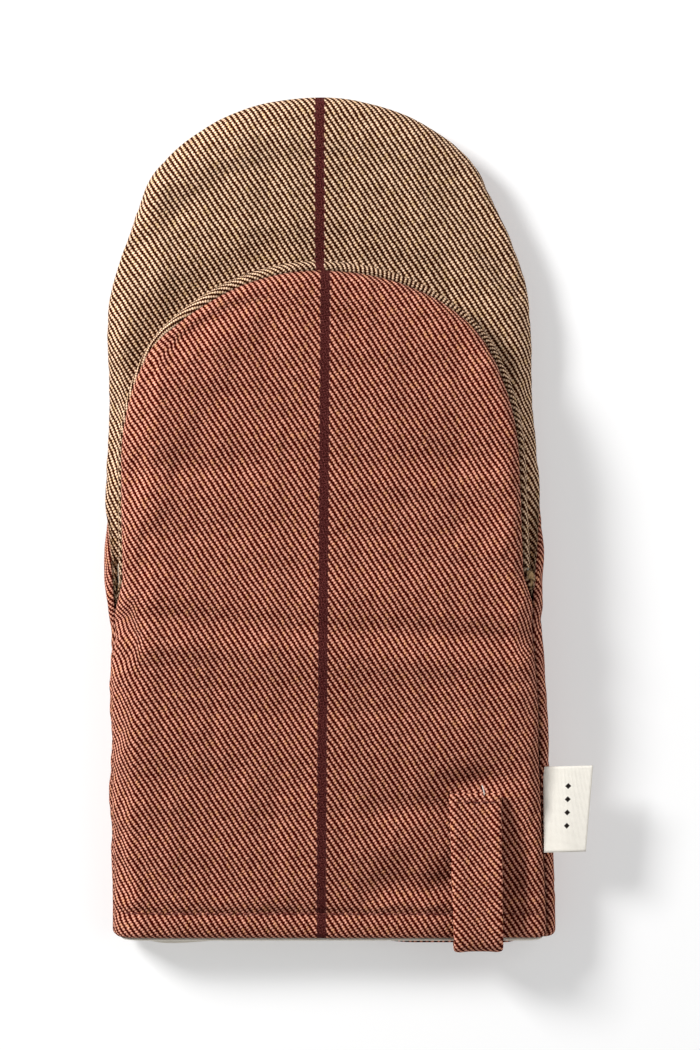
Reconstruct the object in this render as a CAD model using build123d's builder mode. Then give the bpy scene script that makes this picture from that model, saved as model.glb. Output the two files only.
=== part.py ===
"""Oven mitt with a finger pocket and a thumb pocket, lying flat with its palm side up.

Millimetres. +X to the mitt's right, +Y from the hem to the fingertips, +Z up.
The origin is the middle of the hem, on the face that the mitt lies on.
"""
from build123d import *
import math
import os

# ---- driving dimensions -------------------------------------------------------------------
mitt_length = 322.6          # hem to fingertips
thumb_top_y = 258.0          # highest point of the thumb pocket's arch
mouth_y = 134.0              # line where the thumb pocket parts from the finger pocket
fold_y = 115.0               # crease across the palm
back_hem_y = -1.5            # the back hem shows a little past the front hem
front_hem_y = 3.0

cloth = 1.0                  # outer twill
wadding = 3.0
lining = 1.0
wall = cloth + wadding + lining

finger_height = 16.5         # finger pocket, lying flat
thumb_low = 17.0             # underside of the thumb pocket
palm_height = 33.5           # two pockets deep at the mouth
hem_height = 22.0
hem_half_width = 84.0
palm_half_width = 82.4
cuff_trim = 0.1              # cut off the cuff's lofted underside
body_gap = 0.3               # between pieces that move against each other

crown_radius, crown_turn = 84.5, 42.4         # arcs of an arch, from its top down
shoulder_radius, shoulder_turn = 44.0, 21.0
flank_turn = 25.8
finger_flank_radius = 130.0
thumb_flank_radius = 95.0
edge_round = 8.0             # round of a pocket's edge, seen across the mitt

fold_z = 15.0                # height of the palm fold's axis
fold_half_angle = 24.0       # each side of the wedge, a little more than half the joint's travel

strap_width = 19.4
strap_thickness = 2.4
strap_x = 54.7
strap_top_y = 58.5
strap_lift = 0.2             # clear of the twill where it is sewn down
strap_bow = [(42, 31.4), (22, 32.6), (-1.5, 29.0), (-3.0, 15.4), (24, 18.0)]
strap_bends = [20, 30, 7, 5.5]

label_low_y, label_high_y = 34.0, 66.5
label_start_x, label_end_x = 81.8, 99.7
label_z = 22.4
label_thickness = 0.8

thread = 0.5
hem_stitch_y = 13.0

far = 400.0                  # reaches past the whole mitt
base_y = -40.0               # where the arch bodies start, before they are cut at the mouth
front_slope = (palm_height - hem_height) / fold_y

os.makedirs("parts", exist_ok=True)


def save(builder, name):
    """Label a finished piece and write it as one STEP file."""
    builder.part.label = name
    export_step(builder.part, f"parts/{name}.step")


def front_z(y):
    """Height of the cuff's front face at y."""
    return hem_height + front_slope * y


# ---- the solids that the layers are cut from ----------------------------------------------
def arch_body(top_y, flank_radius, low, high, inset):
    """A pocket's whole outer shape, drawn in by inset on every side."""
    with BuildPart() as body:
        with BuildSketch(Plane.XY.offset(low + inset)):
            with BuildLine():
                crown = JernArc((0, top_y - inset), (1, 0), crown_radius - inset, -crown_turn)
                shoulder = JernArc(crown @ 1, crown % 1, shoulder_radius - inset, -shoulder_turn)
                flank = JernArc(shoulder @ 1, shoulder % 1, flank_radius - inset, -flank_turn)
                heading = flank % 1
                side_run = ((flank @ 1).Y - base_y) / -heading.Y
                side = Line(flank @ 1, flank @ 1 + heading * side_run)
                Line(side @ 1, (0, base_y))
                mirror(about=Plane.YZ)
            make_face()
        extrude(amount=high - low - 2 * inset)
        rims = body.edges().group_by(Axis.Z)[0] + body.edges().group_by(Axis.Z)[-1]
        fillet([rim for rim in rims if rim.center().Y > base_y + 1], edge_round - inset)
    return body.part


def cuff_body(inset):
    """The cuff's whole outer shape, rising from the hem to the palm, drawn in by inset.

    It is lofted a little too low and cut off level, so that its underside is truly flat."""
    with BuildPart() as body:
        for y, half_width, height in (
            (back_hem_y, hem_half_width, front_z(back_hem_y)),
            (fold_y, palm_half_width, palm_height),
        ):
            middle = (0, y, (height - cuff_trim) / 2)
            with BuildSketch(Plane(middle, x_dir=(1, 0, 0), z_dir=(0, -1, 0))):
                SlotOverall(2 * (half_width - inset), height + cuff_trim - 2 * inset)
        loft()
        split(bisect_by=Plane.XY, keep=Keep.TOP)
    return body.part


def palm_body(inset):
    """The stretch between the palm fold and the mouth, drawn in by inset."""
    with BuildPart() as body:
        with BuildSketch(Plane((0, fold_y, palm_height / 2), x_dir=(1, 0, 0), z_dir=(0, 1, 0))):
            SlotOverall(2 * (palm_half_width - inset), palm_height - 2 * inset)
        extrude(amount=mouth_y - body_gap - fold_y)
    return body.part


def side_view_block(points):
    """A block across the whole width whose side view has the given (y, z) corners."""
    with BuildPart() as block:
        with BuildSketch(Plane.YZ.offset(-far)):
            with BuildLine():
                Polyline(*points, close=True)
            make_face()
        extrude(amount=2 * far)
    return block.part


# The fold's two faces lean apart above its axis, and meet when the palm is folded.
fold_lean = (far - fold_z) * math.tan(math.radians(fold_half_angle))
cuff_side = side_view_block(
    [
        (-far, -far),
        (fold_y - body_gap / 2, -far),
        (fold_y - body_gap / 2, fold_z),
        (fold_y - body_gap / 2 - fold_lean, far),
        (-far - fold_lean, far),
    ]
)
palm_side = side_view_block(
    [
        (far, -far),
        (fold_y + body_gap / 2, -far),
        (fold_y + body_gap / 2, fold_z),
        (fold_y + body_gap / 2 + fold_lean, far),
        (far + fold_lean, far),
    ]
)
finger_side = side_view_block(
    [(mouth_y - body_gap, -far), (far, -far), (far, far), (mouth_y - body_gap, far)]
)
thumb_side = side_view_block(
    [(mouth_y + body_gap, -far), (far, -far), (far, far), (mouth_y + body_gap, far)]
)
front_hem_side = side_view_block(
    [(front_hem_y, -far), (far, -far), (far, far), (front_hem_y, far)]
)


def finger_body(inset):
    return arch_body(mitt_length, finger_flank_radius, 0, finger_height, inset)


def thumb_body(inset):
    return arch_body(thumb_top_y, thumb_flank_radius, thumb_low, palm_height, inset)


# ---- walls: each half of each stretch is twill, wadding and lining ------------------------
layers = [("cloth", 0, cloth), ("wadding", cloth, cloth + wadding), ("lining", cloth + wadding, wall)]
stretches = [
    # name, whole shape, stretch of the mitt, height where its two halves meet
    ("cuff", cuff_body, cuff_side, 11.0),
    ("palm", palm_body, palm_side, palm_height / 2),
    ("finger", finger_body, finger_side, finger_height / 2),
    ("thumb", thumb_body, thumb_side, (thumb_low + palm_height) / 2),
]

for stretch, whole, keep_side, seam_z in stretches:
    for layer, outer_inset, inner_inset in layers:
        for half, side in (("back", Keep.BOTTOM), ("front", Keep.TOP)):
            with BuildPart() as wall_piece:
                add(whole(outer_inset))
                add(whole(inner_inset), mode=Mode.SUBTRACT)
                add(keep_side, mode=Mode.INTERSECT)
                if stretch == "cuff" and half == "front":
                    add(front_hem_side, mode=Mode.INTERSECT)
                split(bisect_by=Plane.XY.offset(seam_z), keep=side)
            save(wall_piece, f"{stretch}_{half}_{layer}")

# ---- hanging strap: sewn down on the palm side, round the hem, and inside the cuff ---------
strap_plane = Plane.YZ.offset(strap_x)
strap_top_z = front_z(strap_top_y) + strap_lift + strap_thickness / 2
strap_route = [(strap_top_y, strap_top_z)] + strap_bow
with BuildPart() as hanging_strap:
    with BuildLine(strap_plane):
        strap_line = FilletPolyline(*strap_route, radius=strap_bends)
    with BuildSketch(Plane(strap_line @ 0, x_dir=(1, 0, 0), z_dir=strap_line % 0)):
        Rectangle(strap_width, strap_thickness)
    sweep(path=strap_line)
save(hanging_strap, "hanging_strap")

strap_row_length = strap_width - 4
strap_row_reach = 3.5        # from each end of the strap
with BuildPart() as strap_stitching:
    for reach in (strap_row_reach, strap_line.length - strap_row_reach):
        row = strap_line.position_at(reach, position_mode=PositionMode.LENGTH)
        run = strap_line.tangent_at(reach, position_mode=PositionMode.LENGTH)
        row_plane = Plane(row, x_dir=(1, 0, 0), z_dir=run.cross(Vector(1, 0, 0)))
        with BuildSketch(row_plane.offset(strap_thickness / 2)):
            Rectangle(strap_row_length, 2 * thread)
        extrude(amount=thread)
save(strap_stitching, "strap_stitching")

# ---- the hem's row of stitches, on the palm side and on the back's lining ------------------
front_plane = Plane((0, hem_stitch_y, front_z(hem_stitch_y)), x_dir=(1, 0, 0), z_dir=(0, -front_slope, 1))
with BuildPart() as hem_stitching:
    with BuildSketch(front_plane):
        with Locations((-15.0, 0)):
            Rectangle(112, 2 * thread)
    extrude(amount=thread)
    with BuildSketch(Plane.XY.offset(wall)):
        with Locations((0, hem_stitch_y)):
            Rectangle(130, 2 * thread)
    extrude(amount=thread)
save(hem_stitching, "hem_stitching")

# ---- side label: a folded tape sewn into the right side seam --------------------------------
with BuildPart() as side_label:
    with BuildSketch(Plane.XY.offset(label_z - label_thickness / 2)):
        with Locations(((label_start_x + label_end_x) / 2, (label_low_y + label_high_y) / 2)):
            Rectangle(label_end_x - label_start_x, label_high_y - label_low_y)
    extrude(amount=label_thickness)
save(side_label, "side_label")
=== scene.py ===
"""The looks of an oven mitt lying flat, palm side up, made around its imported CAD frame.

Shapes are worked out in millimetres, in the frame's own axes, and turned into metres when a piece is made.
"""
import math

import bmesh
import bpy
import numpy as np
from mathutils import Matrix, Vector, noise
from mathutils.bvhtree import BVHTree


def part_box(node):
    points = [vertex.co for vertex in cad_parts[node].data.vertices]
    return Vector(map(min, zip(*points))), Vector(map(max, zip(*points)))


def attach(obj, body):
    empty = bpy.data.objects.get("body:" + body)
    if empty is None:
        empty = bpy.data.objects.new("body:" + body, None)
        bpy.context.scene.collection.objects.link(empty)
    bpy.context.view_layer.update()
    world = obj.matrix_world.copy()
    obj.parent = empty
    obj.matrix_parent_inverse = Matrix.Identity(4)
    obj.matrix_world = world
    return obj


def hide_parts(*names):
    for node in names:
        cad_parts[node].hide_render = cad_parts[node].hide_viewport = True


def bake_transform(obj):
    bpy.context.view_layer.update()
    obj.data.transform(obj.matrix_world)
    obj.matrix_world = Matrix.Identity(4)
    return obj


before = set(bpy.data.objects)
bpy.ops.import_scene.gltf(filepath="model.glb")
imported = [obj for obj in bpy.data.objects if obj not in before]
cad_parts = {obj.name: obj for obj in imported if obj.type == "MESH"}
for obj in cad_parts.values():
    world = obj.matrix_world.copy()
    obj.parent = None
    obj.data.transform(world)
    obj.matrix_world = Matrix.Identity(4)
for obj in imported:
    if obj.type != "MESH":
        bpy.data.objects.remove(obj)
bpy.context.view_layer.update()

MM = 0.001


# ---- sizes read from the frame ------------------------------------------------------------
def node_box(node):
    """A CAD node's lowest and highest corner, in millimetres."""
    low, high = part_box(node)
    return low / MM, high / MM


FINGERTIP_Y = node_box("finger_back_cloth")[1].y
POUCH_TOP = node_box("finger_front_cloth")[1].z
THUMB_TOP_Y = node_box("thumb_front_cloth")[1].y + 1.6        # the arch's seam puffs out past its solid
MOUTH_Y = node_box("thumb_front_cloth")[0].y
THUMB_LOW = node_box("thumb_back_cloth")[0].z
PALM_TOP = node_box("palm_front_cloth")[1].z
LABEL_LOW, LABEL_HIGH = node_box("side_label")
STRAP_LOW, STRAP_HIGH = node_box("hanging_strap")

# ---- driving sizes of the soft shape ------------------------------------------------------
CROWN = (84.5, 42.4)                     # radius and turn of an arch's arcs, from its top down
SHOULDER = (44.0, 21.0)
FINGER_FLANK = (130.0, 25.8)
THUMB_FLANK = (95.0, 25.8)
HEM_TOP = 22.0
FOLD_Y = 115.0
PANEL_SPLIT_Y = 126.0                    # the front panel's cuff and thumb stretches meet here
WALL = 4.6                               # twill, wadding and lining together
HEM_ROUND = 2.3                          # half of a wall, rounded over at the hem
CLOTH = 0.8
CELL = 2.6                               # spacing of a panel's mesh before it is subdivided

HEM_SLANT = -0.0258                      # the hem runs a little lower on the right
FRONT_HEM_Y = 3.6
LINING_PAST_HEM = 1.2                    # the lining shows as a line past the twill's hem
HEM_STITCH_Y = 13.0
STITCH_SLANT = -0.028
CROTCH_ROUND = 4.8                       # the linings of both pockets meet round this at the mouth


# ---- small helpers ------------------------------------------------------------------------
def ramp(value, low, high):
    """0 below low, 1 above high, smooth between."""
    t = np.clip((np.asarray(value, float) - low) / (high - low), 0, 1)
    return t * t * (3 - 2 * t)


def bump(value, centre, width):
    """1 at the centre, fading to nothing over a few widths."""
    return np.exp(-(((np.asarray(value, float) - centre) / width) ** 2))


def ripple(points, scale, seed):
    """Smooth noise, about -1 to 1, at each point."""
    offset = Vector((seed * 17.3, seed * 5.1, seed * 9.7))
    return np.array([noise.noise(Vector(p) / scale + offset) for p in points]) * 1.6


# ---- outlines -----------------------------------------------------------------------------
PAST_HEM = 12.0


def arch(top_y, flank, low_y, step=0.25):
    """Points of an arch's outline from the left hem over the top to the right, and a little past both."""
    arcs = [CROWN, SHOULDER, flank]
    turns = np.radians(np.cumsum([0] + [turn for _, turn in arcs]))
    runs = np.cumsum([0] + [radius * math.radians(turn) for radius, turn in arcs])
    travelled = np.arange(0, 2 * top_y, step)
    heading = np.interp(travelled, runs, turns)
    x = np.cumsum(np.cos(heading)) * step
    y = top_y - np.cumsum(np.sin(heading)) * step
    right = np.column_stack([x, y])[y > low_y - PAST_HEM]
    left = right[::-1] * [-1, 1]
    return np.vstack([left, right])


def side_shape(outline):
    """Lets the sides swell beside the pockets and the cuff, and draw in at the palm crease."""
    x, y = outline.T
    swell = 1.3 * bump(y, 165, 38) + 0.7 * (1 - ramp(y, 60, 112)) - 0.9 * bump(y, 119, 9)
    left = 0.4 * bump(y, 141, 12) - 0.6 * bump(y, 121, 10) - 2.3 * bump(y, 274, 22)
    right = -1.6 * bump(y, 284, 22)
    swell = swell + np.where(x < 0, left, right)
    uneven = 0.35 * ripple(np.column_stack([x, y, 0 * x]), 24, 31)
    return np.column_stack([x + np.sign(x) * (swell + uneven) * ramp(abs(x), 40, 68), y])


def normals_of(outline):
    """Outward unit normals of an outline that runs clockwise from its left hem."""
    run = np.gradient(outline, axis=0)
    normal = np.column_stack([-run[:, 1], run[:, 0]])
    return normal / np.linalg.norm(normal, axis=1)[:, None]


def front_top(y):
    """Height of the cuff's and the thumb pocket's upper face."""
    slope = (PALM_TOP - HEM_TOP) / FOLD_Y
    return np.minimum(HEM_TOP + slope * np.asarray(y, float), PALM_TOP)


class Edge:
    """How a panel turns over along its outline, as quarter ellipses seen across the edge.

    across and up are the ellipse's half axes, middle its centre's height, and seam the angle above
    the middle where the panel ends. The flat outline is where the cloth's edge lies when the cloth
    is spread out with its deep part unmoved."""

    def __init__(self, outline, across, up, middle, seam, inset=0.0):
        self.normal = normals_of(outline)
        self.outline = outline - self.normal * inset
        self.across, self.up = across - inset, up - inset
        self.middle, self.seam, self.inset = middle, np.radians(seam), inset
        self.mean = (self.across + self.up) / 2
        spare = self.mean * (math.pi / 2 - self.seam) - self.across
        self.flat = self.outline + self.normal * spare[:, None]

    def turned_over(self):
        """The same edge seen from the other panel of the seam."""
        other = object.__new__(Edge)
        other.__dict__.update(self.__dict__)
        other.seam = -self.seam
        spare = self.mean * (math.pi / 2 - other.seam) - self.across
        other.flat = self.outline + self.normal * spare[:, None]
        return other


def palm_share(y):
    """1 on the cuff and palm, 0 beside the finger pocket."""
    return 1 - ramp(y, MOUTH_Y - 6, MOUTH_Y + 52)


def body_edge(low_y, inset=0.0):
    """The mitt's own edge, between its back and what lies on top of it."""
    outline = side_shape(arch(FINGERTIP_Y, FINGER_FLANK, low_y))
    x, y = outline.T
    share = palm_share(y)
    top = share * front_top(y) + (1 - share) * POUCH_TOP
    left_share = share * (0.45 + 0.55 * ramp(y, 104, 150))
    seam = -3 + 46 * np.where(x > 0, share, left_share)
    return Edge(outline, 8 + 3 * share, top / 2, top / 2, seam, inset)


def front_edge(low_y, inset=0.0):
    """The front panel's edge: the mitt's own below the mouth, the thumb pocket's above it."""
    outline = arch(THUMB_TOP_Y, THUMB_FLANK, low_y)
    x, y = outline.T
    above = ramp(y, MOUTH_Y - 9, MOUTH_Y + 8)
    body = body_edge(low_y)
    right = body.outline[:, 0] > 0

    def of_body(values):
        """The mitt's own edge's values at this outline's heights, for each side."""
        sides = []
        for side in (~right, right):
            order = np.argsort(body.outline[side][:, 1])
            sides.append(np.interp(y, body.outline[side][order, 1], values[side][order]))
        return np.where(x < 0, sides[0], sides[1])

    outline = np.column_stack([(1 - above) * of_body(body.outline[:, 0]) + above * x, y])
    across_share = np.abs(normals_of(outline)[:, 0])
    rim = 51 - np.where(x < 0, 29 * ramp(across_share, 0.5, 1), 14 * ramp(across_share, 0.1, 0.6))
    seam = (1 - above) * np.degrees(of_body(body.seam)) + above * rim
    middle = (1 - above) * front_top(y) / 2 + above * (THUMB_LOW + PALM_TOP) / 2
    across = (1 - above) * of_body(body.across) + above * 8
    return Edge(outline, across, front_top(y) - middle, middle, seam, inset)


def palm_edge(low_y, inset=0.0):
    """The finger pocket's palm side: it ends where the back ends, at the pocket's own height."""
    body = body_edge(low_y)
    drop = body.across * (1 - np.cos(body.seam)) / 8
    seam = np.degrees(np.arccos(np.clip(1 - drop, -1, 1))) * np.sign(body.seam)
    half = np.full(len(drop), POUCH_TOP / 2)
    edge = Edge(body.outline, half * 0 + 8, half, half, seam, inset)
    edge.lift = (body.middle + body.up * np.sin(body.seam)) - (half + half * np.sin(edge.seam))
    return edge


# ---- panels -------------------------------------------------------------------------------
def spread(u, v, edge, low_y):
    """Places (u, v), each 0 to 1, inside an edge's flat outline above low_y.

    The outline's four sides hold the patch."""
    flat = edge.flat[edge.outline[:, 1] > low_y]
    run = np.gradient(flat, axis=0)
    heading = np.arctan2(run[:, 1], run[:, 0])
    corner = int(np.argmax(heading < math.pi / 4))
    left, crown, right = flat[: corner + 1], flat[corner:-corner or None], flat[-corner - 1 :][::-1]
    steps = [np.linspace(0, 1, len(side)) for side in (left, crown, right)]

    def along(t, step, side):
        return np.column_stack([np.interp(t, step, side[:, 0]), np.interp(t, step, side[:, 1])])

    u1, v1 = u[:, None], v[:, None]
    low_left, low_right, high_left, high_right = left[0], right[0], left[-1], right[-1]
    sides = (1 - u1) * along(v, steps[0], left) + u1 * along(v, steps[2], right)
    ends = (1 - v1) * ((1 - u1) * low_left + u1 * low_right) + v1 * along(u, steps[1], crown)
    corners = (1 - v1) * ((1 - u1) * low_left + u1 * low_right) + v1 * (
        (1 - u1) * high_left + u1 * high_right
    )
    return sides + ends - corners


def turn_over(flat_points, edge, side, top):
    """Rolls the band beside a flat outline over the panel's edge.

    Returns the places, their outward directions and their distances from the seam."""
    nearest = np.empty(len(flat_points), int)
    for start in range(0, len(flat_points), 1500):
        part = flat_points[start : start + 1500]
        gaps = ((part[:, None, :] - edge.flat[None, :, :]) ** 2).sum(2)
        nearest[start : start + 1500] = gaps.argmin(1)
    normal = edge.normal[nearest]
    depth = np.maximum(((edge.flat[nearest] - flat_points) * normal).sum(1), 0)
    angle = np.minimum(edge.seam[nearest] + depth / edge.mean[nearest], math.pi / 2)
    rolled = angle < math.pi / 2 - 1e-6
    inward = edge.across[nearest] * (1 - np.cos(angle))
    places = np.where(rolled[:, None], edge.outline[nearest] - normal * inward[:, None], flat_points)
    level = top(places[:, 1]) if top else edge.middle[nearest] + side * edge.up[nearest]
    rolled_z = edge.middle[nearest] + side * edge.up[nearest] * np.sin(angle)
    z = np.where(rolled, rolled_z, level)
    if hasattr(edge, "lift"):
        z = z + edge.lift[nearest] * np.exp(-(((depth + edge.inset) / 4.5) ** 2))
    outward = np.column_stack([normal * np.cos(angle)[:, None], side * np.sin(angle)])
    return np.column_stack([places, z]), outward, depth


class Hem:
    """A panel's lower edge, rounded over to meet the panel that it is sewn to."""

    def __init__(self, line, radius, sideways=1.0):
        """line gives the edge's y at x, and sideways is how far the rounding also goes left and right."""
        self.line, self.radius, self.sideways = line, radius, sideways

    def flat_line(self, x):
        """Where the edge lies before it is rounded over."""
        return self.line(x) - (math.pi / 2 - 1) * self.radius

    def round_over(self, points, towards):
        """towards is each point's way to the other panel."""
        x = points[:, 0]
        angle = np.clip((points[:, 1] - self.flat_line(x)) / self.radius, 0, math.pi / 2)
        turned = angle < math.pi / 2 - 1e-6
        points = points.copy()
        points[turned, 1] = (self.line(x) + self.radius * (1 - np.cos(angle)))[turned]
        return points + towards * [self.sideways, 1, 1] * (self.radius * (1 - np.sin(angle)))[:, None]


def make_mesh(name, bm, material):
    mesh = bpy.data.meshes.new(name)
    bm.to_mesh(mesh)
    bm.free()
    mesh.materials.append(material)
    mesh.shade_smooth()
    piece = bpy.data.objects.new(name, mesh)
    bpy.context.scene.collection.objects.link(piece)
    return piece


def apply_modifiers(piece):
    """Turns what the modifiers show into the piece's own mesh."""
    seen = piece.evaluated_get(bpy.context.evaluated_depsgraph_get())
    mesh = bpy.data.meshes.new_from_object(seen)
    piece.modifiers.clear()
    piece.data = mesh
    mesh.name = piece.name
    mesh.shade_smooth()
    return piece


def subdivide(piece, levels):
    smooth = piece.modifiers.new("smooth", "SUBSURF")
    smooth.levels = smooth.render_levels = levels


def thicken(piece, thickness, offset=-1.0):
    solid = piece.modifiers.new("cloth", "SOLIDIFY")
    solid.thickness = thickness * MM
    solid.offset = offset
    solid.use_even_offset = False


def cloth_grid(columns, rows, fine_rows=0.0, fine_share=0.0):
    """A flat grid of cloth, with u and v from 0 to 1.

    fine_rows is the share of its rows that crowd into the lowest fine_share of its height."""
    bm = bmesh.new()
    bmesh.ops.create_grid(bm, x_segments=columns, y_segments=rows, size=0.5)
    grid = np.array([vert.co for vert in bm.verts])
    u, v = grid[:, 0] + 0.5, grid[:, 1] + 0.5
    if fine_rows:
        v = np.interp(v, [0, fine_rows, 1], [0, fine_share, 1])
        v = 1 - (1 - v) ** 1.15
        u = u - 0.075 * np.sin(2 * math.pi * u)
    return bm, u, v


WEAVE_SPAN = 400.0                       # millimetres of cloth across the whole UV map


def place_cloth(bm, points, weave, outward, seam=None):
    """Moves the grid's vertices to their points and lays the weave on it as a UV map.

    weave is each vertex's place on the cloth, in millimetres from the stripe and along it, and seam
    is painted shading: 1 where shade is painted along a seam, below 0 where a highlight is painted."""
    for vert, point in zip(bm.verts, points):
        vert.co = Vector(point) * MM
    bm.verts.ensure_lookup_table()
    uv = bm.loops.layers.uv.new("weave")
    for face in bm.faces:
        for loop in face.loops:
            across, along = weave[loop.vert.index]
            loop[uv].uv = ((across + WEAVE_SPAN / 4) / WEAVE_SPAN, (along + 20) / WEAVE_SPAN)
    # the seam layer holds painted shading: shade painted along seams, highlights painted on edges
    shading_paint = bm.verts.layers.float.new("seam")
    if seam is not None:
        for vert, share in zip(bm.verts, seam):
            vert[shading_paint] = share
    bm.normal_update()
    agreement = sum(vert.normal.dot(Vector(o)) for vert, o in zip(bm.verts, outward))
    if agreement < 0:
        bmesh.ops.reverse_faces(bm, faces=bm.faces)


MORE_ROWS = 1.15                         # rows for each column's width
HEM_ROWS = (0.15, 0.07)                  # share of the rows near the lower edge, and the height they take
PLAIN_ROWS = (0.05, 0.05)
EVEN_ROWS = (0.0, 0.0)
HEM_SHIFT_FADES = 70                     # above the hem, what follows its slant
SEAM_SHADE = 1.0                         # width of the shade painted along a seam
# painted highlight on a panel's rolled edge: its strength, how far in from the seam, and its width
EDGE_HIGHLIGHT_SHARE, EDGE_HIGHLIGHT_IN, EDGE_HIGHLIGHT_WIDTH = 0.2, 9, 7
HEM_HELD_BELOW, HEM_FREE_ABOVE = 12, 18
FLOOR_HELD_BELOW, FLOOR_FREE_ABOVE = 1.0, 4.0


def panel(
    name, edge, side, material, low_y, stripe, relief=None, top=None, hem=None, inner=False, cell=CELL
):
    """One cloth of the mitt: a grid spread in its outline, rolled over its edge and given its relief."""
    width = np.ptp(edge.flat[:, 0])
    height = edge.flat[:, 1].max() - low_y
    fine = PLAIN_ROWS if hem is None else HEM_ROWS
    if inner:
        fine = EVEN_ROWS
    bm, u, v = cloth_grid(int(width / cell), int(height * MORE_ROWS / cell), *fine)
    flat = spread(u, v, edge, low_y)
    if hem is not None:
        shift = hem.flat_line(flat[:, 0]) - low_y
        flat[:, 1] += shift * (1 - ramp(flat[:, 1], low_y, low_y + HEM_SHIFT_FADES))
    points, outward, depth = turn_over(flat, edge, side, top)
    raised = relief(points, depth) if relief is not None else 0 * depth
    if hem is not None:
        points = hem.round_over(points, outward if inner else -outward)
    stripe_at_zero, slant = stripe
    weave = np.column_stack([side * (flat[:, 0] - stripe_at_zero - slant * flat[:, 1]), flat[:, 1]])
    # painted shade along the seam, less a painted highlight on the rolled edge further in
    shading_paint = np.exp(-((depth / SEAM_SHADE) ** 2)) - EDGE_HIGHLIGHT_SHARE * bump(depth, EDGE_HIGHLIGHT_IN, EDGE_HIGHLIGHT_WIDTH)
    place_cloth(bm, points, weave, -outward if inner else outward, shading_paint)
    piece = make_mesh(name, bm, material)
    if not inner:
        by_hem = 0 * depth
        if hem is not None:
            by_hem = 1 - ramp(points[:, 1], low_y + HEM_HELD_BELOW, low_y + HEM_FREE_ABOVE)
        on_floor = 1 - ramp(points[:, 2], FLOOR_HELD_BELOW, FLOOR_FREE_ABOVE)
        settle(piece, np.clip(1 - ramp(depth, 0.5, SEWN_BAND) + by_hem + on_floor, 0, 1))
    for vert, way in zip(piece.data.vertices, outward * raised[:, None]):
        vert.co += Vector(way) * MM
    subdivide(piece, 1)
    return apply_modifiers(piece)


def cut(piece, name, y, keep_low):
    """A copy of the piece with only what lies below or above y."""
    copy = piece.copy()
    copy.data = piece.data.copy()
    copy.name = copy.data.name = name
    bpy.context.scene.collection.objects.link(copy)
    bm = bmesh.new()
    bm.from_mesh(copy.data)
    geometry = bm.verts[:] + bm.edges[:] + bm.faces[:]
    place, along = (0, y * MM, 0), (0, 1, 0)
    bmesh.ops.bisect_plane(
        bm, geom=geometry, plane_co=place, plane_no=along, clear_outer=keep_low, clear_inner=not keep_low
    )
    bm.to_mesh(copy.data)
    bm.free()
    return copy


SETTLE_FRAMES = 16
SETTLE_CAP = 1.5                         # no point moves further than this
SEWN_BAND = 3.0                          # from a seam, still held by it


def settle(piece, held):
    """Lets the wadding press the cloth out between its seams, with a little cloth to spare.

    held is 1 for each vertex that a seam or hem holds, and 0 for a free one."""
    pins = piece.vertex_groups.new(name="pins")
    for vert, share in enumerate(held):
        pins.add([vert], float(share), "REPLACE")
    before = np.array([vert.co for vert in piece.data.vertices])
    cloth = piece.modifiers.new("settle", "CLOTH")
    cloth.settings.vertex_group_mass = "pins"
    cloth.settings.quality = 6
    cloth.settings.mass = 0.3
    cloth.settings.tension_stiffness = cloth.settings.compression_stiffness = 20
    cloth.settings.shear_stiffness = 8
    cloth.settings.bending_stiffness = 0.4
    cloth.settings.shrink_min = -0.012
    cloth.settings.use_pressure = True
    cloth.settings.uniform_pressure_force = 0.5
    cloth.settings.effector_weights.gravity = 0
    cloth.collision_settings.use_collision = False
    cloth.point_cache.frame_end = SETTLE_FRAMES
    scene = bpy.context.scene
    for step in range(1, SETTLE_FRAMES + 1):
        scene.frame_set(step)
    seen = piece.evaluated_get(bpy.context.evaluated_depsgraph_get())
    after = np.array([vert.co for vert in seen.data.vertices])
    piece.modifiers.clear()
    scene.frame_set(1)
    moved = after - before
    far = np.linalg.norm(moved, axis=1)
    moved *= np.minimum(1, SETTLE_CAP * MM / np.maximum(far, 1e-9))[:, None]
    for vert, place in zip(piece.data.vertices, before + moved):
        vert.co = place
    piece.vertex_groups.clear()


def finish_cloth(piece, thickness=CLOTH):
    """Gives the cloth its thickness, with crisp cut edges."""
    thicken(piece, thickness)
    apply_modifiers(piece)
    bm = bmesh.new()
    bm.from_mesh(piece.data)
    for line in bm.edges:
        line.smooth = line.calc_face_angle(0) < math.radians(50)
    bm.to_mesh(piece.data)
    bm.free()
    return piece


# ---- relief: puffs, creases and sewn lines, in millimetres along the cloth's outward side ----
def seam_dip(depth):
    """The cloth pulls in along its seam and swells just beside it."""
    return -1.2 * np.exp(-((depth / 1.1) ** 2)) + 0.3 * bump(depth, 5, 3)


def soft_unevenness(points, seed):
    return 0.42 * ripple(points, 34, seed) + 0.13 * ripple(points, 11, seed + 3)


def wrinkles(points, seed):
    """Long shallow waves that run across the mitt."""
    across = points * [0.22, 1, 1]
    return 0.4 * ripple(across, 13, seed) + 0.45 * ripple(across, 24, seed + 4)


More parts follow.
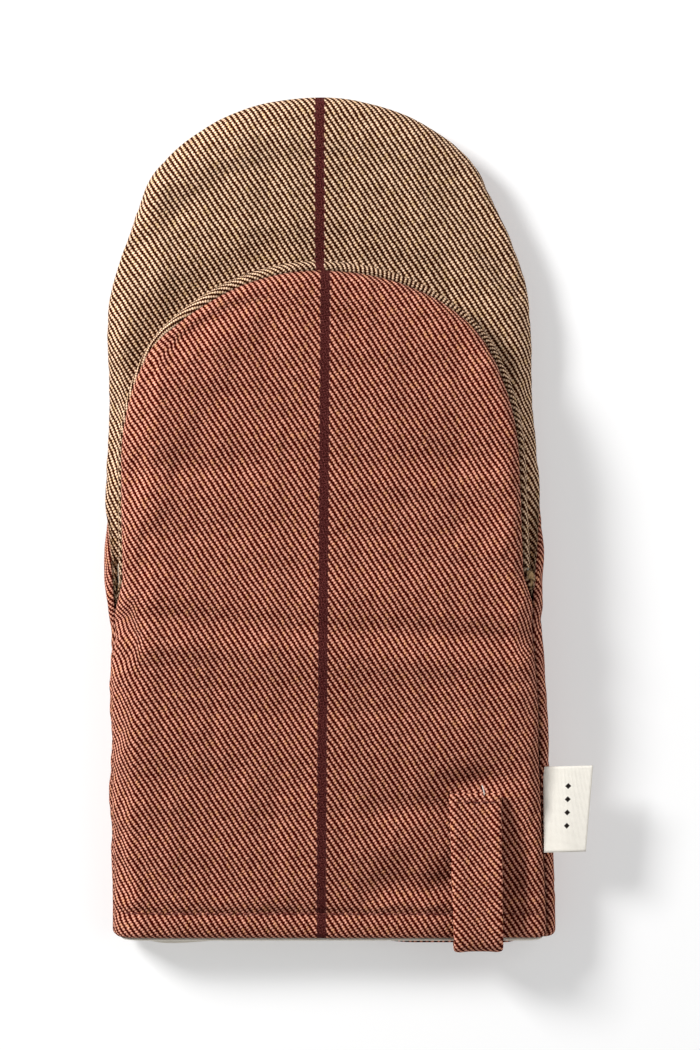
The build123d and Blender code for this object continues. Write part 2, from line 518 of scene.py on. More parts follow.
def front_relief(points, depth):
    x, y, _ = points.T
    crease_y = 121 - 7 * x / 80
    from_middle = np.abs(x / 80)
    crease = -(1.3 + 2.2 * from_middle) * bump(y, crease_y, 4.6)
    below_crease = (0.5 + 0.7 * from_middle) * bump(y, crease_y - 10, 5)
    shoulders = -(0.5 + 1.4 * bump(np.abs(x), 42, 22)) * bump(y, 182, 5)
    cuff_bands = -0.8 * bump(y, 90 - 0.03 * x, 5) - 0.7 * bump(y, 68 + 0.02 * x, 5) * ramp(-x, 10, 50)
    stitch_line = HEM_STITCH_Y + STITCH_SLANT * x
    beside_stitches = 0.5 * bump(y, stitch_line - 5, 3) + 0.7 * bump(y, stitch_line + 5, 4)
    hem = -1.2 * bump(y, stitch_line, 1.4) + beside_stitches
    left_of_strap = ramp(x, 2, 36) * (1 - ramp(x, 45, 52))
    puckers = left_of_strap * (
        -3.2 * bump(y, 53, 5) + 1.6 * bump(y, 38, 6) - 3.6 * bump(y, 22.5, 5.5) + 0.6 * bump(y, 17, 3)
    )
    strap_dimple = -5.4 * bump(x, 54, 12) * bump(y, 61.5, 4.8)
    beside_strap = -2.6 * bump(x, 68, 7) * (1 - ramp(y, 42, 62)) * ramp(y, 8, 20)
    under_strap = -1.2 * bump(x, 54, 11) * bump(y, 40, 22)
    hills = crease + below_crease + shoulders + cuff_bands + hem + wrinkles(points, 2)
    hills = hills + puckers + strap_dimple + beside_strap + under_strap
    free = 1 - np.exp(-((depth / 6) ** 2))
    return free * hills + seam_dip(depth) + soft_unevenness(points, 1) + 1.3 * (1 - np.exp(-depth / 16))


def palm_relief(points, depth):
    """It sinks towards the thumb pocket, and below the mouth it tucks in under the front panel."""
    x, y, _ = points.T
    past_arch = (np.hypot(x / 76, np.maximum(y - 182, 0) / 78) - 1) * 77
    sunk = -3.0 * (1 - ramp(past_arch, 2, 16)) * ramp(y, 150, 200) * (1 - 0.6 * ramp(x, 20, 60))
    tucked = -2.6 * ramp(MOUTH_Y + 1 - y, 0, 6)
    free = 1 - np.exp(-((depth / 6) ** 2))
    hills = free * (sunk + 0.8 * wrinkles(points, 6)) + tucked
    return hills + seam_dip(depth) + soft_unevenness(points, 5) + 1.7 * (1 - np.exp(-depth / 14))


def back_relief(points, depth):
    """Only the sides swell: the mitt rests on the rest of its back."""
    off_floor = ramp(points[:, 2], 1.5, 6)
    return off_floor * (seam_dip(depth) + 0.6 * soft_unevenness(points, 8))


def rim_relief(points, depth):
    return seam_dip(depth) + 0.3 * soft_unevenness(points, 11)


# ---- materials ----------------------------------------------------------------------------
class Value:
    """A socket's value, so that shader maths reads as Python."""

    def __init__(self, look, socket):
        self.look = look
        self.socket = socket

    def math(self, operation, *others):
        return self.look.node("ShaderNodeMath", {"operation": operation}, [self, *others])

    def __add__(self, other):
        return self.math("ADD", other)

    def __sub__(self, other):
        return self.math("SUBTRACT", other)

    def __mul__(self, other):
        return self.math("MULTIPLY", other)

    def __rsub__(self, other):
        return self.look.node("ShaderNodeMath", {"operation": "SUBTRACT"}, [other, self])

    __radd__ = __add__
    __rmul__ = __mul__

    def cosine(self):
        return self.math("COSINE")

    def size(self):
        return self.math("ABSOLUTE")

    def rise(self, low, high):
        """0 below low, 1 above high, smooth between."""
        settings = {"interpolation_type": "SMOOTHSTEP"}
        inputs = {"Value": self, "From Min": low, "From Max": high}
        return self.look.node("ShaderNodeMapRange", settings, inputs)


class Look:
    """A material, with one method that adds any node."""

    def __init__(self, name, roughness=0.85):
        self.material = bpy.data.materials.new(name)
        self.material.use_nodes = True
        self.tree = self.material.node_tree
        self.shader = self.tree.nodes["Principled BSDF"]
        self.shader.inputs["Roughness"].default_value = roughness
        self.shader.inputs["Specular IOR Level"].default_value = 0.02

    def node(self, kind, settings=None, inputs=None, output=0):
        made = self.tree.nodes.new(kind)
        for key, value in (settings or {}).items():
            if key == "stops":
                self.set_stops(made.color_ramp, value)
            else:
                setattr(made, key, value)
        pairs = inputs.items() if isinstance(inputs, dict) else enumerate(inputs or [])
        for key, value in pairs:
            if isinstance(value, Value):
                self.tree.links.new(value.socket, made.inputs[key])
            else:
                made.inputs[key].default_value = value
        return Value(self, made.outputs[output])

    @staticmethod
    def set_stops(ramp_of, stops):
        while len(ramp_of.elements) < len(stops):
            ramp_of.elements.new(0.5)
        for element, (position, colour) in zip(ramp_of.elements, stops):
            element.position = position
            element.color = (*colour, 1)

    def mix(self, share, first, second):
        """A colour between two."""
        first = first if isinstance(first, Value) else (*first, 1)
        second = second if isinstance(second, Value) else (*second, 1)
        settings = {"data_type": "RGBA"}
        return self.node("ShaderNodeMix", settings, {0: share, 6: first, 7: second}, output=2)

    def noise(self, vector, scale, detail=2.0):
        return self.node("ShaderNodeTexNoise", None, {"Vector": vector, "Scale": scale, "Detail": detail})

    def vector(self, x, y, z=0.0):
        return self.node("ShaderNodeCombineXYZ", None, [x, y, z])

    def finish(self, colour, height=None, depth=0.3, roughness=None):
        """Feeds the shader; depth is the relief's height in millimetres."""
        self.tree.links.new(colour.socket, self.shader.inputs["Base Color"])
        if height is not None:
            inputs = {"Strength": 1.0, "Distance": depth * MM, "Height": height}
            raised = self.node("ShaderNodeBump", None, inputs)
            self.tree.links.new(raised.socket, self.shader.inputs["Normal"])
        if roughness is not None:
            self.tree.links.new(roughness.socket, self.shader.inputs["Roughness"])
        return self.material


def srgb(red, green, blue):
    """A display colour, 0 to 255, as linear light."""
    def linear(channel):
        share = channel / 255
        return share / 12.92 if share <= 0.04045 else ((share + 0.055) / 1.055) ** 2.4

    return tuple(linear(channel) for channel in (red, green, blue))


RIB_PITCH, RIB_ANGLE = 1.85, 33.3        # between the diagonal ribs
FLOAT_PITCH, FLOAT_ANGLE = 1.06, -72.0   # between the threads that make the ribs
STRIPE_HALF_WIDTH = 1.88
STRIPE_SOFTNESS = 0.12
STRIPE_SHADES = [(0.15, srgb(36, 4, 2)), (0.5, srgb(68, 22, 22)), (1.0, srgb(120, 66, 62))]


def weave_place(look):
    """Millimetres across the cloth from its stripe, and along it."""
    uv = look.node("ShaderNodeTexCoord", output=2)
    parts = look.tree.nodes.new("ShaderNodeSeparateXYZ")
    look.tree.links.new(uv.socket, parts.inputs[0])
    across = Value(look, parts.outputs[0]) * WEAVE_SPAN - WEAVE_SPAN / 4
    along = Value(look, parts.outputs[1]) * WEAVE_SPAN - 20
    return across, along


def wave(across, along, pitch, angle):
    """The phase of a set of parallel lines."""
    turn = math.radians(angle)
    return (across * math.cos(turn) + along * math.sin(turn)) * (2 * math.pi / pitch)


def twill(name, dark, middle, light, odd):
    """Coarse twill: beaded diagonal ribs over dark crossing threads, with a woven stripe."""
    look = Look(name, roughness=0.9)
    across, along = weave_place(look)
    plain_across = across
    wander = look.noise(look.vector(across, along), 0.16, 2.0) - 0.5
    tremble = look.noise(look.vector(across, along), 0.9, 1.0) - 0.5
    across = across + wander * 0.8 + tremble * 0.40
    along = along + tremble * 0.34
    ribs = wave(across, along, RIB_PITCH, RIB_ANGLE)
    floats = wave(across, along, FLOAT_PITCH, FLOAT_ANGLE)
    rib = ribs.cosine() * 0.5 + 0.5
    beads = floats.cosine()
    crossing = (ribs + floats).cosine()
    between = 1 - rib * 0.55
    height = rib * 0.70 + beads * between * 0.22 + crossing * 0.12 + 0.15
    fibre = look.noise(look.vector(across * 2.4, along * 1.6), 1.0, 3.0) - 0.5
    height = height + fibre * 0.75
    shade = look.node(
        "ShaderNodeValToRGB",
        {"stops": [(0.29, dark), (0.56, middle), (0.82, light)]},
        [height],
    )
    warp_thread = look.noise(look.vector(across * 0.95, along * 0.03), 1.0, 1.0)
    weft_thread = look.noise(look.vector(across * 0.03, along * 0.95), 1.0, 1.0)
    slub = look.noise(look.vector(across * 0.5, along * 0.22), 1.0, 2.0)
    shade = look.mix(slub.rise(0.52, 0.70) * 0.5 * height.rise(0.3, 0.7), shade, odd)
    bead = look.noise(look.vector(across * 0.9, along * 0.8), 1.0, 1.0)
    dye_warp = look.noise(look.vector(across * 0.16, along * 0.006), 1.0, 2.0)
    dye_weft = look.noise(look.vector(across * 0.006, along * 0.16), 1.0, 2.0)
    thread_tone_and_shading = (warp_thread - 0.5) * 0.36 + (weft_thread - 0.5) * 0.22 + (bead - 0.5) * 0.7 + 0.95
    thread_tone_and_shading = thread_tone_and_shading + (dye_warp - 0.5) * 0.42 + (dye_weft - 0.5) * 0.34
    # painted shading from the seam attribute: it darkens the twill along seams as painted shade and lightens
    # rolled edges and the strap as painted highlights; the rest is thread and dye tone
    painted_shading = look.node("ShaderNodeAttribute", {"attribute_name": "seam"}, output=2)
    thread_tone_and_shading = thread_tone_and_shading * (1 - painted_shading * 0.6)
    shade = look.node("ShaderNodeVectorMath", {"operation": "SCALE"}, {"Vector": shade, "Scale": thread_tone_and_shading})
    edge_wobble = (look.noise(look.vector(along * 1.1, 0.0), 1.0, 2.0) - 0.5) * 0.5 + (rib - 0.5) * 0.5
    off_middle = plain_across.size() + edge_wobble
    off_stripe = off_middle.rise(STRIPE_HALF_WIDTH - STRIPE_SOFTNESS, STRIPE_HALF_WIDTH + STRIPE_SOFTNESS)
    fine = wave(across, along, 0.78, 38).cosine() * wave(across, along, 0.78, -52).cosine()
    speckle = look.noise(look.vector(across * 2.2, along * 2.2), 1.0, 2.0)
    stripe_height = fine * 0.5 + (speckle - 0.5) * 2.4 + 0.5
    stripe = look.node("ShaderNodeValToRGB", {"stops": STRIPE_SHADES}, [stripe_height])
    shade = look.mix(off_stripe, stripe, shade)
    relief = height * off_stripe + (1 - off_stripe) * (stripe_height * 0.4 + 0.25)
    rough = 0.95 - relief * 0.1
    return look.finish(shade, relief, depth=0.42, roughness=rough)


def lining_cotton():
    """Plain-woven undyed cotton."""
    look = Look("lining_cotton")
    across, along = weave_place(look)
    warp = wave(across, along, 0.55, 0).cosine()
    weft = wave(across, along, 0.6, 90).cosine()
    slub = look.noise(look.vector(across * 0.5, along * 1.6), 1.0, 3.0)
    height = warp * weft * 0.3 + slub
    colour = look.mix(height.rise(0.2, 1.0), srgb(236, 228, 212), srgb(255, 251, 242))
    return look.finish(colour, height, depth=0.12)


LOZENGE_PITCH, LOZENGE_HALF, LOZENGE_ACROSS = 5.0, 1.15, 9.2
LOZENGE_START, LOZENGE_END = 6.2, 26.4


def label_tape():
    """Cream woven tape with fine ribs and a plain column of small woven lozenges."""
    look = Look("label_tape", roughness=0.8)
    across, along = weave_place(look)
    ribs = wave(across, along, 0.42, 90).cosine()
    threads = wave(across, along, 0.5, 0).cosine()
    height = ribs * 0.5 + threads * 0.3 + look.noise(look.vector(across * 3, along * 3), 1.0, 2.0)
    ground = look.mix(height.rise(-0.3, 1.2), srgb(241, 235, 222), srgb(255, 251, 242))
    repeat = along.math("PINGPONG", LOZENGE_PITCH / 2)
    off_centre = (across - LOZENGE_ACROSS).size() + repeat
    lozenge = 1 - off_centre.rise(LOZENGE_HALF - 0.15, LOZENGE_HALF + 0.15)
    inside = along.rise(LOZENGE_START - 0.1, LOZENGE_START) * (1 - along.rise(LOZENGE_END, LOZENGE_END + 0.1))
    colour = look.mix(lozenge * inside, ground, srgb(38, 32, 30))
    return look.finish(colour, height, depth=0.08)


def sewing_thread(name, colour):
    look = Look(name, roughness=0.6)
    place = look.node("ShaderNodeTexCoord", output=3)
    settings = {"bands_direction": "DIAGONAL"}
    twist = look.node("ShaderNodeTexWave", settings, {"Vector": place, "Scale": 1500.0}, output=1)
    pale = tuple(min(1.0, channel * 1.5 + 0.02) for channel in colour)
    return look.finish(look.mix(twist, colour, pale), twist, depth=0.05)


RUST = twill("rust_twill", srgb(58, 2, 0), srgb(148, 78, 58), srgb(234, 170, 146), srgb(220, 156, 104))
BROWN = twill("brown_twill", srgb(42, 7, 0), srgb(147, 104, 72), srgb(250, 216, 184), srgb(212, 176, 120))
COTTON = lining_cotton()
TAPE = label_tape()
DARK_THREAD = sewing_thread("thread", srgb(96, 44, 38))
YARN = sewing_thread("mouth_yarn", srgb(172, 142, 104))
WHITE_THREAD = sewing_thread("loose_thread", srgb(226, 212, 206))

# ---- camera and light ---------------------------------------------------------------------
VIEW_CENTRE = Vector((10.1, 159.8, 14)) * MM
VIEW_LONG_SIDE = 0.4000                  # of the floor, along the view's long side
LEAN = math.radians(1.48)                # the mitt leans a little to the left in the view


LENS, SENSOR_WIDTH = 110, 36

LIGHTS_AIM = (0.01, 0.16, 0)
KEY_PLACE, KEY_SIZE, KEY_POWER = (-1.2, 1.03, 1.08), 0.5, 42
FILL_PLACE, FILL_SIZE, FILL_POWER = (1.4, 0.5, 1.5), 1.8, 9
WORLD_LIGHT = 0.34
FLOOR_SIZE = 3.0
FLOOR_DARK, FLOOR_LIGHT = (0.60, 0.60, 0.60), (0.61, 0.61, 0.61)
FLOOR_GLOW = 0.36


def make_camera():
    data = bpy.data.cameras.new("camera")
    data.lens, data.sensor_width = LENS, SENSOR_WIDTH
    camera = bpy.data.objects.new("camera", data)
    distance = VIEW_LONG_SIDE * data.lens / data.sensor_width
    camera.location = VIEW_CENTRE + Vector((0, 0, distance))
    camera.rotation_euler = (0, 0, -LEAN)
    bpy.context.scene.collection.objects.link(camera)
    bpy.context.scene.camera = camera


def make_light(name, place, size, power):
    data = bpy.data.lights.new(name, "AREA")
    data.size, data.energy = size, power
    lamp = bpy.data.objects.new(name, data)
    lamp.location = place
    lamp.rotation_euler = (Vector(LIGHTS_AIM) - Vector(place)).to_track_quat("-Z", "Y").to_euler()
    bpy.context.scene.collection.objects.link(lamp)


def make_studio():
    bm = bmesh.new()
    bmesh.ops.create_grid(bm, x_segments=1, y_segments=1, size=FLOOR_SIZE)
    look = Look("floor_paper", roughness=0.9)
    place = look.node("ShaderNodeTexCoord", output=3)
    grain = look.noise(place, 40.0)
    look.shader.inputs["Emission Color"].default_value = (1, 1, 1, 1)
    look.shader.inputs["Emission Strength"].default_value = FLOOR_GLOW
    floor = make_mesh("floor", bm, look.finish(look.mix(grain, FLOOR_DARK, FLOOR_LIGHT)))
    make_light("key", KEY_PLACE, KEY_SIZE, KEY_POWER)
    make_light("fill", FILL_PLACE, FILL_SIZE, FILL_POWER)
    world = bpy.data.worlds.new("studio")
    world.use_nodes = True
    world.node_tree.nodes["Background"].inputs[0].default_value = (1, 1, 1, 1)
    world.node_tree.nodes["Background"].inputs[1].default_value = WORLD_LIGHT
    bpy.context.scene.world = world
    bpy.context.scene.view_settings.view_transform = "Standard"


make_camera()
make_studio()

# ---- outer cloths -------------------------------------------------------------------------
BROWN_STRIPE = (1.2 - 0.0258 * 260, 0.0258)     # the stripe's place at the hem's height, and its slant
RUST_STRIPE = (-4.8, 0.0319)
LINING_GRAIN = (-60.0, 0.0)
LOW_Y = -1.0
LINING_LOW_Y = -2.0
LINING_CELL = 4.2
PALM_LOW_Y = MOUTH_Y - 6


def front_line(x):
    return FRONT_HEM_Y + HEM_SLANT * x


def back_line(x):
    """The back hem shows a little on the right, and meets the front hem at the sides."""
    peeps_out = 1.9 * ramp(x, 8, 30)
    at_sides = ramp(np.abs(x), 66, 79)
    return front_line(x) - (2.2 + peeps_out) * (1 - at_sides)


def back_lining_line(x):
    """The back's lining hangs out at the left corner, and stays behind the twill on the right."""
    hangs_out = 1.9 * bump(x, -64, 20)
    stays_in = 1.3 * ramp(x, 8, 30)
    at_sides = ramp(np.abs(x), 72, 79)
    return back_line(x) - (0.3 + hangs_out - stays_in) * (1 - at_sides) - 0.4 * at_sides


def front_lining_line(x):
    return front_line(x) - LINING_PAST_HEM


def crotch_line(x):
    return MOUTH_Y - CROTCH_ROUND + 0 * x


front_hem = Hem(front_line, HEM_ROUND)
back_hem = Hem(back_line, HEM_ROUND)
front_lining_hem = Hem(front_lining_line, HEM_ROUND)
back_lining_hem = Hem(back_lining_line, HEM_ROUND)
crotch = Hem(crotch_line, CROTCH_ROUND, sideways=0.0)


def ride_cuff(piece):
    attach(piece, "cuff")


def ride_fingers(piece):
    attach(piece, "fingers")


def bend_at_palm(piece):
    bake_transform(piece)


def bend_at_mouth(piece):
    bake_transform(piece)


def padded_wall(piece, move, slot, *nodes):
    """Runs move on one cloth of the quilted wall, and hides the solids that it stands for."""
    move(piece)
    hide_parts(*nodes)


def lining_top(y):
    return front_top(y) - WALL


back = panel(
    "back_panel", body_edge(LOW_Y).turned_over(), -1, RUST, LOW_Y, RUST_STRIPE, back_relief, hem=back_hem
)
padded_wall(
    finish_cloth(back), bend_at_palm, "rust_twill",
    "cuff_back_cloth", "cuff_back_wadding", "palm_back_cloth", "palm_back_wadding",
    "finger_back_cloth", "finger_back_wadding",
)

whole_front = panel(
    "whole_front", front_edge(LOW_Y), 1, RUST, LOW_Y, RUST_STRIPE, front_relief, front_top, front_hem
)
front_surface = BVHTree.FromObject(whole_front, bpy.context.evaluated_depsgraph_get())
padded_wall(
    finish_cloth(cut(whole_front, "cuff_front_panel", PANEL_SPLIT_Y, True)), bend_at_palm, "rust_twill",
    "cuff_front_cloth", "cuff_front_wadding", "palm_front_cloth", "palm_front_wadding",
)
padded_wall(
    finish_cloth(cut(whole_front, "thumb_front_panel", PANEL_SPLIT_Y, False)), bend_at_mouth, "rust_twill",
    "thumb_front_cloth", "thumb_front_wadding",
)
bpy.data.objects.remove(whole_front)

palm = panel("palm_panel", palm_edge(PALM_LOW_Y), 1, BROWN, PALM_LOW_Y, BROWN_STRIPE, palm_relief)
palm_surface = BVHTree.FromObject(palm, bpy.context.evaluated_depsgraph_get())
padded_wall(finish_cloth(palm), ride_fingers, "brown_twill", "finger_front_cloth", "finger_front_wadding")

thumb_under = panel(
    "thumb_underside", front_edge(MOUTH_Y).turned_over(), -1, BROWN, MOUTH_Y, BROWN_STRIPE, rim_relief
)
padded_wall(
    finish_cloth(thumb_under), bend_at_mouth, "brown_twill", "thumb_back_cloth", "thumb_back_wadding"
)

# ---- linings ------------------------------------------------------------------------------
back_lining = panel(
    "back_lining", body_edge(LINING_LOW_Y, WALL).turned_over(), -1, COTTON, LINING_LOW_Y, LINING_GRAIN,
    hem=back_lining_hem, inner=True, cell=LINING_CELL,
)
padded_wall(
    finish_cloth(back_lining), bend_at_palm, "lining_cotton",
    "cuff_back_lining", "palm_back_lining", "finger_back_lining",
)

whole_lining = panel(
    "whole_lining", front_edge(LINING_LOW_Y, WALL), 1, COTTON, LINING_LOW_Y, LINING_GRAIN,
    top=lining_top, hem=front_lining_hem, inner=True, cell=LINING_CELL,
)
padded_wall(
    finish_cloth(cut(whole_lining, "cuff_front_lining_cloth", PANEL_SPLIT_Y, True)), bend_at_palm,
    "lining_cotton", "cuff_front_lining", "palm_front_lining",
)
padded_wall(
    finish_cloth(cut(whole_lining, "thumb_front_lining_cloth", PANEL_SPLIT_Y, False)), bend_at_mouth,
    "lining_cotton", "thumb_front_lining",
)
bpy.data.objects.remove(whole_lining)

palm_lining = panel(
    "palm_lining", palm_edge(MOUTH_Y - 4, WALL), 1, COTTON, MOUTH_Y - 4, LINING_GRAIN,
    hem=crotch, inner=True, cell=LINING_CELL,
)
padded_wall(finish_cloth(palm_lining), ride_fingers, "lining_cotton", "finger_front_lining")

thumb_lining = panel(
    "thumb_underside_lining", front_edge(MOUTH_Y - 4, WALL).turned_over(), -1, COTTON, MOUTH_Y - 4,
    LINING_GRAIN, hem=crotch, inner=True, cell=LINING_CELL,
)
padded_wall(finish_cloth(thumb_lining), bend_at_mouth, "lining_cotton", "thumb_back_lining")


# ---- threads ------------------------------------------------------------------------------
def bezier(points, t):
    """The place at t, 0 to 1, on the Bezier curve of the points."""
    points = [Vector(p) for p in points]
    while len(points) > 1:
        points = [a.lerp(b, t) for a, b in zip(points, points[1:])]
    return points[0]


def add_thread(bm, points, radius, rings=5, sides=6):
    """A round thread along the Bezier curve of the points, in millimetres, closed at both ends."""
    verts = bmesh.ops.create_grid(bm, x_segments=sides, y_segments=rings + 2, size=0.5)["verts"]
    for vert in verts:
        turn, t = vert.co.x + 0.5, vert.co.y + 0.5
        ahead = (bezier(points, min(t + 0.02, 1)) - bezier(points, max(t - 0.02, 0))).normalized()
        side = ahead.cross(Vector((0.3, 0.2, 1))).normalized()
        up = side.cross(ahead)
        full = radius if 0.01 < t < 0.99 else 0
        around = side * math.cos(turn * 2 * math.pi) + up * math.sin(turn * 2 * math.pi)
        vert.co = (bezier(points, t) + around * full) * MM


def make_threads(name, bm, material):
    bmesh.ops.remove_doubles(bm, verts=bm.verts, dist=0.00001)
    bmesh.ops.recalc_face_normals(bm, faces=bm.faces)
    return make_mesh(name, bm, material)


def height_on(surface, x, y):
    """Height of a panel's twill, in millimetres."""
    hit, _, _, _ = surface.ray_cast(Vector((x, y, 60)) * MM, Vector((0, 0, -1)))
    return hit.z / MM if hit else float(front_top(y))


def front_height(x, y):
    return height_on(front_surface, x, y)


STITCH_STEP, STITCH_LENGTH, THREAD_RADIUS = 3.0, 2.3, 0.26


def add_row(bm, start, end, height_at, bow=0.35):
    """A row of stitches from start to end, (x, y), on a surface of the given height."""
    start, end = Vector(start), Vector(end)
    count = max(1, round((end - start).length / STITCH_STEP))
    half = (end - start).normalized() * STITCH_LENGTH / 2
    for stitch in range(count):
        middle = start.lerp(end, (stitch + 0.5) / count)
        places = [middle - half, middle - half * 0.6, middle + half * 0.6, middle + half]
        lifts = [-0.3, bow, bow, -0.3]
        add_thread(bm, [(*p, height_at(*p) + lift) for p, lift in zip(places, lifts)], THREAD_RADIUS)


# ---- hanging strap --------------------------------------------------------------------------
STRAP_WIDTH = STRAP_HIGH.x - STRAP_LOW.x
STRAP_MIDDLE_X = (STRAP_LOW.x + STRAP_HIGH.x) / 2
STRAP_THICKNESS = 2.4
STRAP_ROUTE = [                          # y and z of its middle line, from its sewn end on the palm side
    (57.8, 30.6), (52, 31.2), (42, 32.0), (30, 32.3), (18, 32.0), (6, 31.0), (0.5, 29.9),
    (-1.4, 27.0), (-1.6, 22.0), (-1.4, 17.6), (0.4, 15.6), (4, 15.8), (14, 17.0), (24, 18.0),
]


def smooth_route(points, rounds=4):
    """Cuts the corners of a route again and again, which ends in a smooth curve."""
    points = [np.array(p, float) for p in points]
    for _ in range(rounds):
        cut_points = [points[0]]
        for a, b in zip(points, points[1:]):
            cut_points += [a * 0.75 + b * 0.25, a * 0.25 + b * 0.75]
        points = cut_points + [points[-1]]
    return np.array(points)


strap_line = smooth_route(STRAP_ROUTE)
strap_runs = np.concatenate([[0], np.cumsum(np.linalg.norm(np.diff(strap_line, axis=0), axis=1))])
STRAP_LENGTH = strap_runs[-1]


def make_strap():
    """A doubled ribbon of the twill, sewn flat at its top and drawn over the hem."""
    bm, u, v = cloth_grid(12, int(STRAP_LENGTH / 1.5))
    run = v * STRAP_LENGTH
    y, z = (np.interp(run, strap_runs, column) for column in strap_line.T)
    ahead = np.gradient(strap_line, axis=0)
    ahead /= np.linalg.norm(ahead, axis=1)[:, None]
    ahead_y, ahead_z = (np.interp(run, strap_runs, column) for column in ahead.T)
    outward = np.column_stack([0 * u, ahead_z, -ahead_y])
    narrowing = 1 - 0.045 * ramp(run, 5, 60) + 0.03 * bump(run, 1, 4)
    across = (u - 0.5) * STRAP_WIDTH * narrowing
    places = [(side * 9, along / 9, 3) for side, along in zip(u > 0.5, run)]
    edge_wave = 0.25 * np.array([noise.noise(place) for place in places])
    x = STRAP_MIDDLE_X - 0.3 + across + edge_wave
    points = np.column_stack([x, y, z])
    near_edge = np.abs(u - 0.5) * 2
    lift = 0.45 * bump(near_edge, 0.8, 0.16) - 0.5 * near_edge**6
    lift = lift + 0.3 * ripple(points, 14, 21) + 0.5 * bump(run, 1.5, 2.5) * near_edge**2
    points = points + outward * lift[:, None]
    weave = np.column_stack([across + 46.8 - 0.09 * run, -run + 91])
    # painted light: the whole strap a little paler, painted highlights along its folded edges, and its sewn
    # top end paler
    pale = -0.10 - 0.30 * ramp(near_edge, 0.84, 1) - 0.25 * bump(run, 0, 1.2)
    place_cloth(bm, points, weave, outward, pale)
    strap = make_mesh("strap", bm, RUST)
    thicken(strap, STRAP_THICKNESS - 0.5, offset=0.0)
    subdivide(strap, 2)
    return apply_modifiers(strap)


strap = make_strap()
ride_cuff(strap)
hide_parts("hanging_strap")

# ---- side label -----------------------------------------------------------------------------
LABEL_REACH = LABEL_HIGH.x - LABEL_LOW.x
LABEL_TALL = LABEL_HIGH.y - LABEL_LOW.y
LABEL_FOLD = 0.42                        # radius of its folded outer edge
LABEL_TAPE = 0.35
LABEL_LEAN = 3.0                         # its lower outer corner is drawn in by this
LABEL_IN_SEAM = 1.0                      # how far it reaches into the side seam


def make_label():
    """A tape folded at its outer edge, with both ends in the side seam."""
    half_turn = math.pi * LABEL_FOLD
    whole = 2 * (LABEL_REACH - LABEL_FOLD) + half_turn
    bm, u, v = cloth_grid(64, 34)
    run = u * whole
    leg = LABEL_REACH - LABEL_FOLD
    angle = np.clip((run - leg) / LABEL_FOLD, 0, math.pi)
    over = run <= leg
    round_fold = leg + LABEL_FOLD * np.sin(angle)
    reach = np.where(over, run, np.where(run >= leg + half_turn, whole - run, round_fold))
    height = LABEL_FOLD * np.cos(angle)
    y = LABEL_LOW.y + v * LABEL_TALL
    lean = LABEL_LEAN * (1 - v)
    out = reach * (LABEL_REACH + LABEL_IN_SEAM) / LABEL_REACH
    x = LABEL_LOW.x - LABEL_IN_SEAM + out - lean * reach / LABEL_REACH - 0.5 * (1 - v)
    middle = (LABEL_LOW.z + LABEL_HIGH.z) / 2
    curl = 0.9 * (reach / LABEL_REACH) ** 2 * (v - 0.35) + 0.5 * bump(reach, 9, 6) - 0.3
    points = np.column_stack([x, y, middle + curl + height])
    outward = np.column_stack([np.sin(angle), 0 * u, np.cos(angle)])
    weave = np.column_stack([reach + 0 * v, v * LABEL_TALL])
    place_cloth(bm, points, weave, outward)
    label = make_mesh("woven_label", bm, TAPE)
    thicken(label, LABEL_TAPE)
    return apply_modifiers(label), whole


label, label_length = make_label()
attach(label, "label")
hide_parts("side_label")
label_length * MM

# ---- stitching ------------------------------------------------------------------------------
STRAP_ROW_IN = 3.2                       # from the strap's end to its row of stitches


def make_hem_stitches():
    bm = bmesh.new()
    left, right = -79.0, 79.0
    start = (left, HEM_STITCH_Y + STITCH_SLANT * left)
    end = (right, HEM_STITCH_Y + STITCH_SLANT * right)
    add_row(bm, start, end, front_height, bow=0.18)
    add_row(bm, (-70, HEM_STITCH_Y), (70, HEM_STITCH_Y), lambda x, y: WALL, bow=0.2)
    return make_threads("hem_stitches", bm, DARK_THREAD)


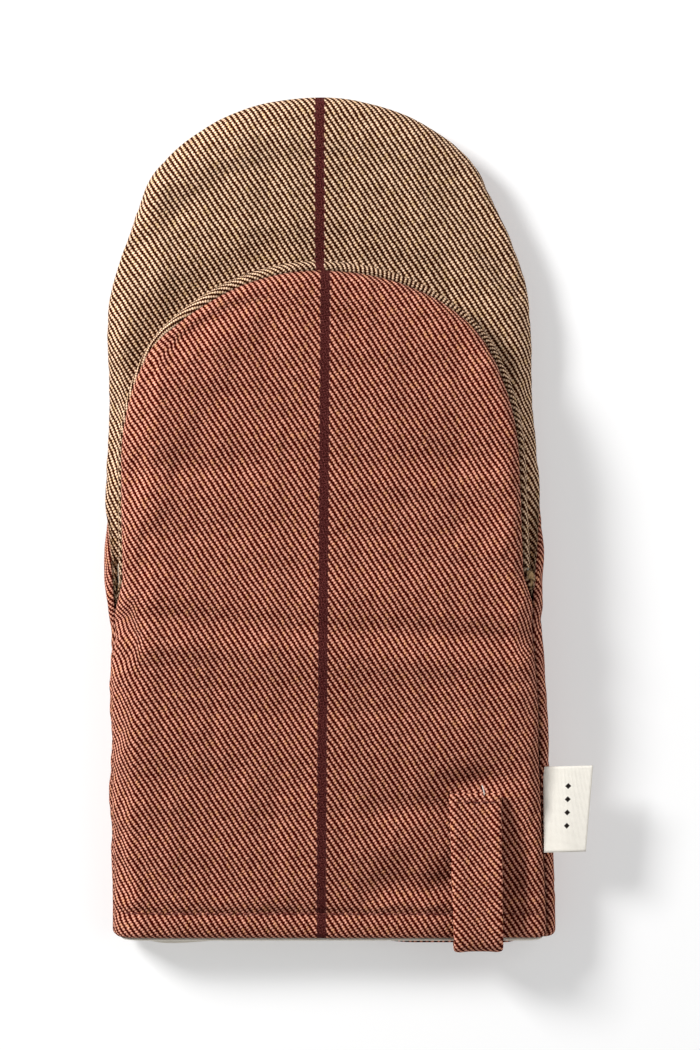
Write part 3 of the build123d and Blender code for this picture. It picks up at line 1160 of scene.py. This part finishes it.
def make_strap_stitches():
    """Rows across both ends of the strap."""
    bm = bmesh.new()
    for reach, sign in ((STRAP_ROW_IN, 1), (STRAP_LENGTH - STRAP_ROW_IN, -1)):
        y, z = (float(np.interp(reach, strap_runs, column)) for column in strap_line.T)
        half = STRAP_WIDTH / 2 - 1.6
        surface = z + sign * (STRAP_THICKNESS / 2 + 0.15)
        row_start, row_end = (STRAP_MIDDLE_X - half, y), (STRAP_MIDDLE_X + half, y)
        add_row(bm, row_start, row_end, lambda x, y: surface, bow=0.1 * sign)
    return make_threads("strap_stitches", bm, DARK_THREAD)


LOOSE_THREAD_ASIDE, LOOSE_THREAD_RADIUS = 3.2, 0.2


def make_loose_thread():
    """A short end of sewing thread that stands up past the strap's top."""
    bm = bmesh.new()
    x, (y, z) = STRAP_MIDDLE_X + LOOSE_THREAD_ASIDE, STRAP_ROUTE[0]
    route = [
        (x, y - 1, z + 1.2),
        (x, y + 0.4, z + 1.8),
        (x - 0.3, y + 1.6, z + 1.9),
        (x - 0.9, y + 3.4, z + 1.6),
    ]
    add_thread(bm, route, LOOSE_THREAD_RADIUS)
    return make_threads("loose_thread", bm, WHITE_THREAD)


TUFT_X, TUFT_Y = 77.3, 137.0
TUFTS = ((1, 20, 2.2, 3.9), (-1, 12, 1.4, 3.0))  # side, strands, half width and half length
STRAND_TURN, STRAND_RADIUS = 2.4, 0.42


def make_mouth_tufts():
    """The gathered ends of the mouth's seam, curled up in both of its corners."""
    bm = bmesh.new()
    for side, strands, wide, tall in TUFTS:
        base = height_on(palm_surface, side * TUFT_X, TUFT_Y)
        centre = np.array([side * TUFT_X, TUFT_Y, base])
        for strand in range(strands):
            turn = strand * STRAND_TURN
            high = 2.4 + 0.8 * math.sin(strand * 1.7)
            rim = np.array([math.cos(turn) * wide, math.sin(turn) * tall, 0])
            curl = np.array([-math.sin(turn) * wide, math.cos(turn) * tall, 0])
            route = [
                centre + rim + [0, 0, -1.5],
                centre + rim * 0.9 + curl * 0.5 + [0, 0, high],
                centre + rim * 0.3 + curl * 0.8 + [0, 0, high + 0.8],
                centre - rim * 0.4 + [0, 0, high - 1.2],
            ]
            add_thread(bm, route, STRAND_RADIUS)
    return make_threads("mouth_tufts", bm, YARN)


mouth_tufts = make_mouth_tufts()
ride_fingers(mouth_tufts)

loose_thread = make_loose_thread()
ride_cuff(loose_thread)

for stitches, node in ((make_hem_stitches(), "hem_stitching"), (make_strap_stitches(), "strap_stitching")):
    ride_cuff(stitches)
    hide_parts(node)
